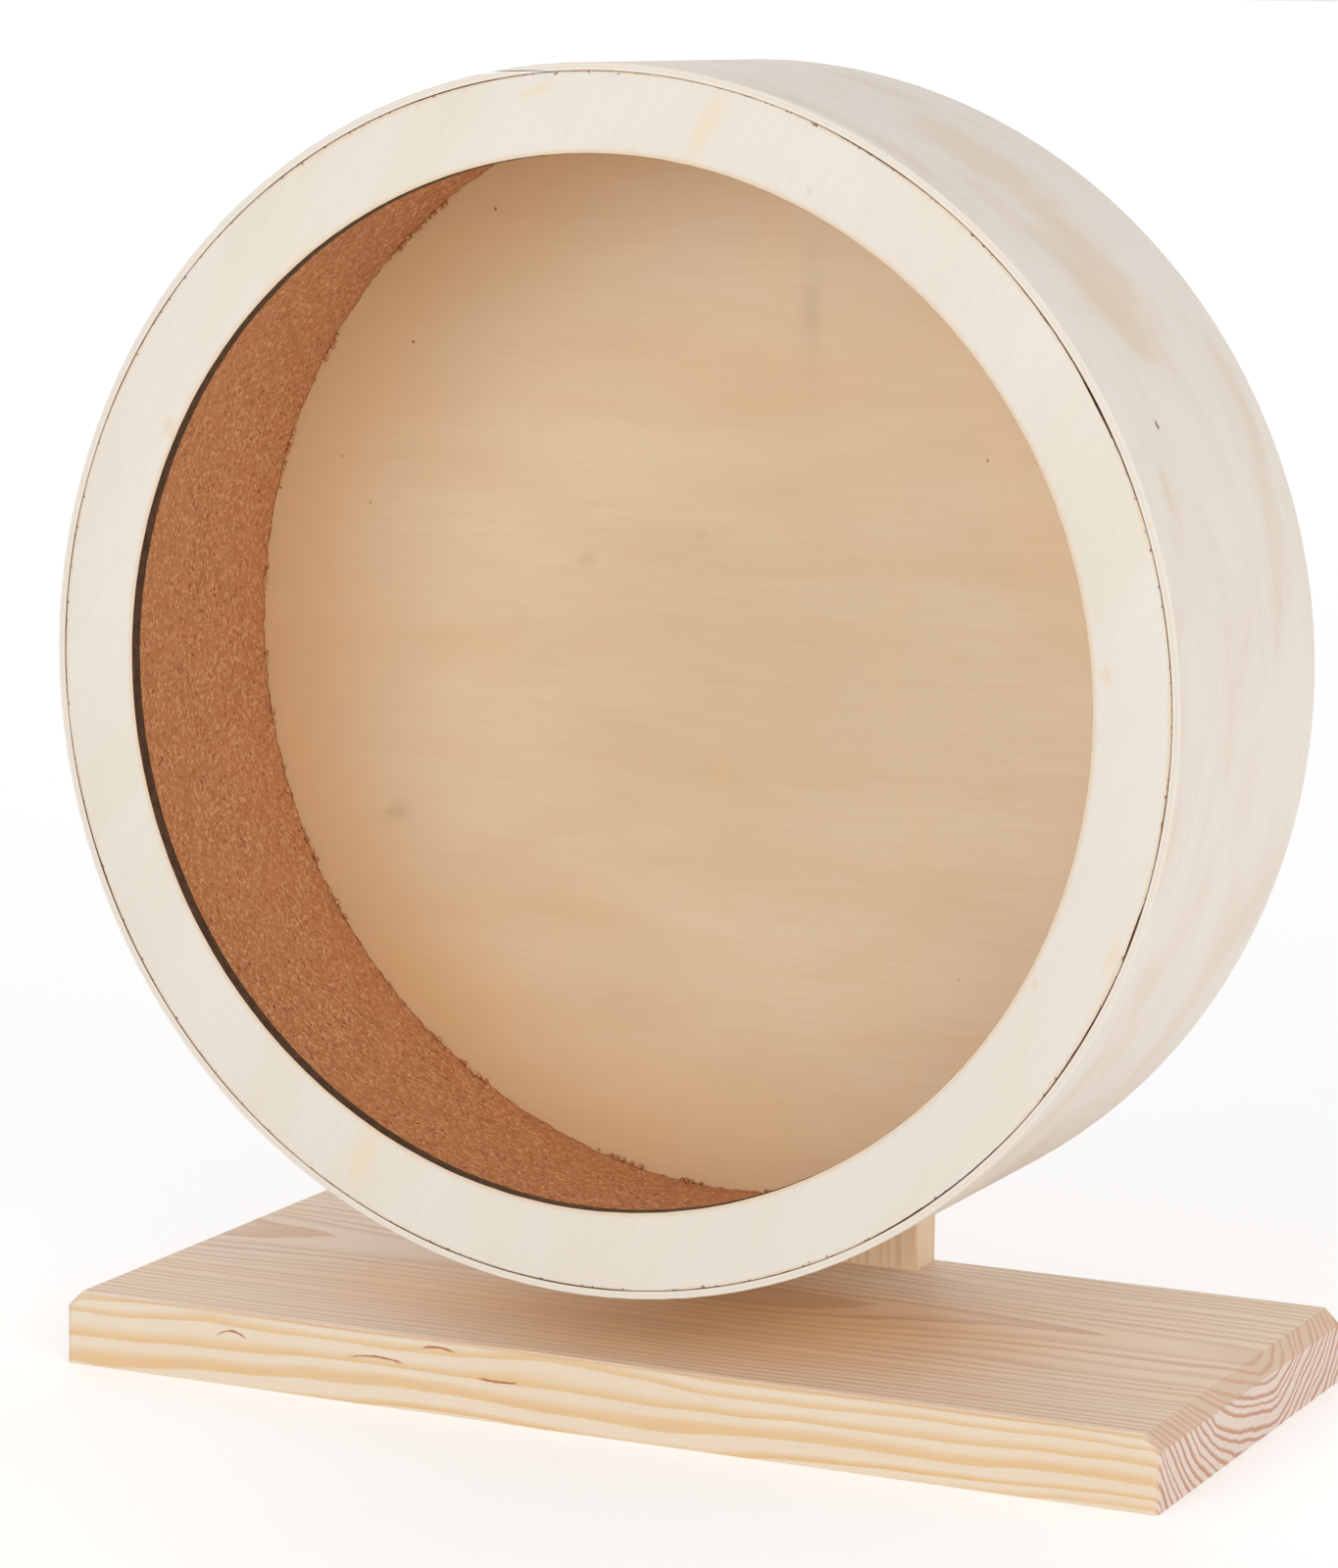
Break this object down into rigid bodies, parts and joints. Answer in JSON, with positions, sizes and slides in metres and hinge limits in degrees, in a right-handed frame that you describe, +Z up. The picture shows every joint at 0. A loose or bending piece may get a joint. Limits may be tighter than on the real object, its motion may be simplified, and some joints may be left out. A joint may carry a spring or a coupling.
{
  "type": "wooden hamster wheel",
  "caption": "Free-standing wooden running wheel for a small pet: cork-lined drum with an open front, turning on ball bearings on a post behind it.",
  "frame": {"origin": "centre of the base board's underside, where the stand rests", "axes": "+Z up, +X along the board's length, +Y from the wheel's open front towards the post"},
  "size_m": [0.22, 0.111, 0.2462],
  "materials": {
    "pine": "planed, bare, straight grain",
    "ring_ply": "sanded, bare, laser-cut edges",
    "band_ply": "sanded, bare, bent strip",
    "panel_ply": "sanded, bare",
    "cork": "fine granulated cork sheet",
    "hub_wood": "turned, bare",
    "zinc_steel": "zinc plated",
    "bearing_steel": "ground",
    "shield_steel": "pressed sheet",
    "nylon": "natural, matte"
  },
  "bodies": {
    "stand": {"base_board": "pine", "upright_post": "pine", "base_screws": "zinc_steel", "axle_bolt": "zinc_steel", "head_shim": "zinc_steel", "axle_spacer": "zinc_steel", "post_washer": "zinc_steel", "lock_nut": "zinc_steel", "lock_nut_insert": "nylon", "front_bearing_inner_ring": "bearing_steel", "rear_bearing_inner_ring": "bearing_steel"},
    "wheel": {"rim_band": "band_ply", "front_ring": "ring_ply", "back_panel": "panel_ply", "cork_liner": "cork", "hub_block": "hub_wood", "front_bearing_outer_ring": "bearing_steel", "rear_bearing_outer_ring": "bearing_steel", "front_bearing_shields": "shield_steel", "rear_bearing_shields": "shield_steel"},
    "front_ball_set": {"front_bearing_balls": "bearing_steel", "front_bearing_cage": "nylon"},
    "rear_ball_set": {"rear_bearing_balls": "bearing_steel", "rear_bearing_cage": "nylon"}
  },
  "joints": [
    {"name": "wheel_spin", "type": "hinge", "parent": "stand", "child": "wheel", "pos_m": [0, 0.0275, 0.1362], "axis": [0, 1, 0], "continuous": true},
    {"name": "front_balls_orbit", "type": "hinge", "parent": "stand", "child": "front_ball_set", "pos_m": [0, 0.0285, 0.1362], "axis": [0, 1, 0], "continuous": true},
    {"name": "rear_balls_orbit", "type": "hinge", "parent": "stand", "child": "rear_ball_set", "pos_m": [0, 0.0345, 0.1362], "axis": [0, 1, 0], "continuous": true}
  ],
  "couplings": [
    {"joint": "front_balls_orbit", "follows": "wheel_spin", "ratio": 0.64},
    {"joint": "rear_balls_orbit", "follows": "wheel_spin", "ratio": 0.64}
  ]
}
